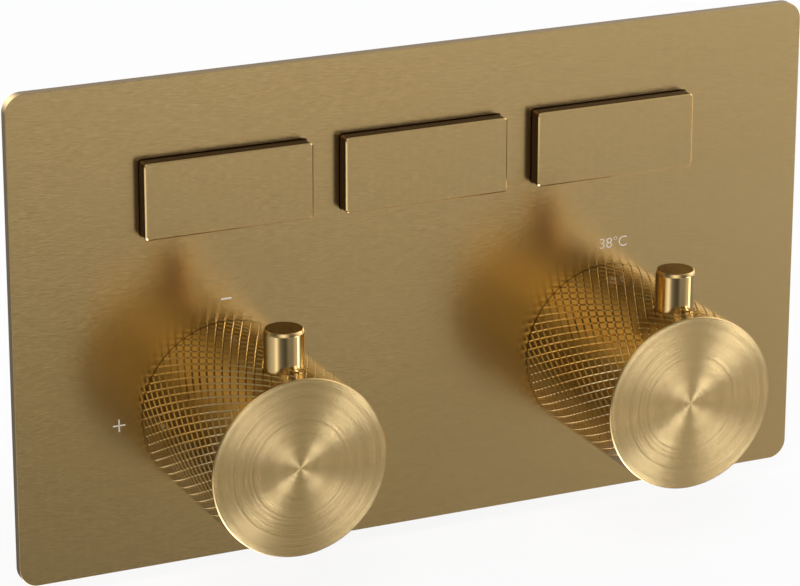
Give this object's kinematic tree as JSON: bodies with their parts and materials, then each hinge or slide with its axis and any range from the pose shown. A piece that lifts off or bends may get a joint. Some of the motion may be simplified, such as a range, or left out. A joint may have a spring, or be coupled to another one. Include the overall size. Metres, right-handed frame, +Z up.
{
  "type": "thermostatic shower valve",
  "caption": "Concealed thermostatic shower valve with outlet push buttons, a flow knob and a temperature knob on a flat brushed brass wall plate.",
  "frame": {"origin": "centre of the wall plate's back face, on the finished wall's surface", "axes": "+X to the user's right, +Z up, +Y into the wall, so the knobs point along -Y"},
  "size_m": [0.23, 0.1308, 0.1366],
  "materials": {
    "brushed_brass": "brushed brass plating, satin, fine straight or spun grain",
    "knurled_brass": "cut diamond knurl in the same brass plating",
    "cast_brass": "cast and machined valve brass, bare",
    "black_plastic": "moulded glass-filled plastic",
    "white_plastic": "moulded acetal",
    "rubber": "black rubber, matt",
    "spring_steel": "stainless steel, bright",
    "bracket_steel": "pressed stainless sheet",
    "ceramic": "lapped alumina ceramic",
    "copper": "drawn copper shell"
  },
  "bodies": {
    "valve": {"wall_plate": "brushed_brass", "plate_seal": "rubber", "button_guide": "black_plastic", "push_spring_left": "spring_steel", "push_spring_centre": "spring_steel", "push_spring_right": "spring_steel", "push_housing_left": "black_plastic", "push_housing_centre": "black_plastic", "push_housing_right": "black_plastic", "push_seals": "rubber", "flow_fixed_disc": "ceramic", "flow_disc_seal": "rubber", "flow_housing": "black_plastic", "flow_gland_nut": "cast_brass", "flow_shroud": "brushed_brass", "flow_plate_ring": "rubber", "temperature_stop_ring": "black_plastic", "temperature_gland_nut": "cast_brass", "temperature_shroud": "brushed_brass", "temperature_plate_ring": "rubber", "thermostat_housing": "black_plastic", "thermostat_spring": "spring_steel", "cartridge_seals": "rubber", "valve_body": "cast_brass", "gallery_plugs": "cast_brass", "hot_inlet_union": "cast_brass", "cold_inlet_union": "cast_brass", "outlet_union_left": "cast_brass", "outlet_union_centre": "cast_brass", "outlet_union_right": "cast_brass", "check_valves": "white_plastic", "inlet_filters": "spring_steel", "mounting_bracket": "bracket_steel", "bracket_screws": "spring_steel"},
    "button_left": {"button_cap_left": "brushed_brass", "push_stem_left": "white_plastic", "push_poppet_left": "rubber"},
    "button_centre": {"button_cap_centre": "brushed_brass", "push_stem_centre": "white_plastic", "push_poppet_centre": "rubber"},
    "button_right": {"button_cap_right": "brushed_brass", "push_stem_right": "white_plastic", "push_poppet_right": "rubber"},
    "flow_control": {"flow_knob": "brushed_brass", "flow_knob_grip": "knurled_brass", "flow_pin": "brushed_brass", "flow_grub_screw": "spring_steel", "flow_spindle": "cast_brass", "flow_moving_disc": "ceramic"},
    "temperature_control": {"temperature_knob": "brushed_brass", "temperature_knob_grip": "knurled_brass", "temperature_grub_screw": "spring_steel", "temperature_spindle": "cast_brass", "safety_button_spring": "spring_steel"},
    "safety_catch": {"safety_button": "brushed_brass"},
    "thermostat": {"thermostat_pusher": "cast_brass", "overload_spring": "spring_steel", "wax_element": "copper", "thermostat_shuttle": "white_plastic"}
  },
  "joints": [
    {"name": "press_left", "type": "slide", "parent": "valve", "child": "button_left", "axis": [0, 1, 0], "range_m": [0, 0.003], "stiffness_N_per_m": 1500, "springref_m": -0.004, "deforming": ["push_spring_left"]},
    {"name": "press_centre", "type": "slide", "parent": "valve", "child": "button_centre", "axis": [0, 1, 0], "range_m": [0, 0.003], "stiffness_N_per_m": 1500, "springref_m": -0.004, "deforming": ["push_spring_centre"]},
    {"name": "press_right", "type": "slide", "parent": "valve", "child": "button_right", "axis": [0, 1, 0], "range_m": [0, 0.003], "stiffness_N_per_m": 1500, "springref_m": -0.004, "deforming": ["push_spring_right"]},
    {"name": "flow_turn", "type": "hinge", "parent": "valve", "child": "flow_control", "pos_m": [-0.0562, 0, -0.0252], "axis": [0, -1, 0], "range_deg": [0, 90]},
    {"name": "temperature_turn", "type": "hinge", "parent": "valve", "child": "temperature_control", "pos_m": [0.0562, 0, -0.0252], "axis": [0, 1, 0], "range_deg": [0, 170]},
    {"name": "safety_press", "type": "slide", "parent": "temperature_control", "child": "safety_catch", "axis": [0, 0, -1], "range_m": [0, 0.0022], "stiffness_N_per_m": 800, "springref_m": -0.002, "deforming": ["safety_button_spring"]},
    {"name": "thermostat_slide", "type": "slide", "parent": "valve", "child": "thermostat", "axis": [0, 1, 0], "range_m": [-0.0012, 0], "deforming": ["thermostat_spring"]}
  ],
  "couplings": [
    {"joint": "thermostat_slide", "follows": "temperature_turn", "m_per_rad": -0.00039789}
  ]
}
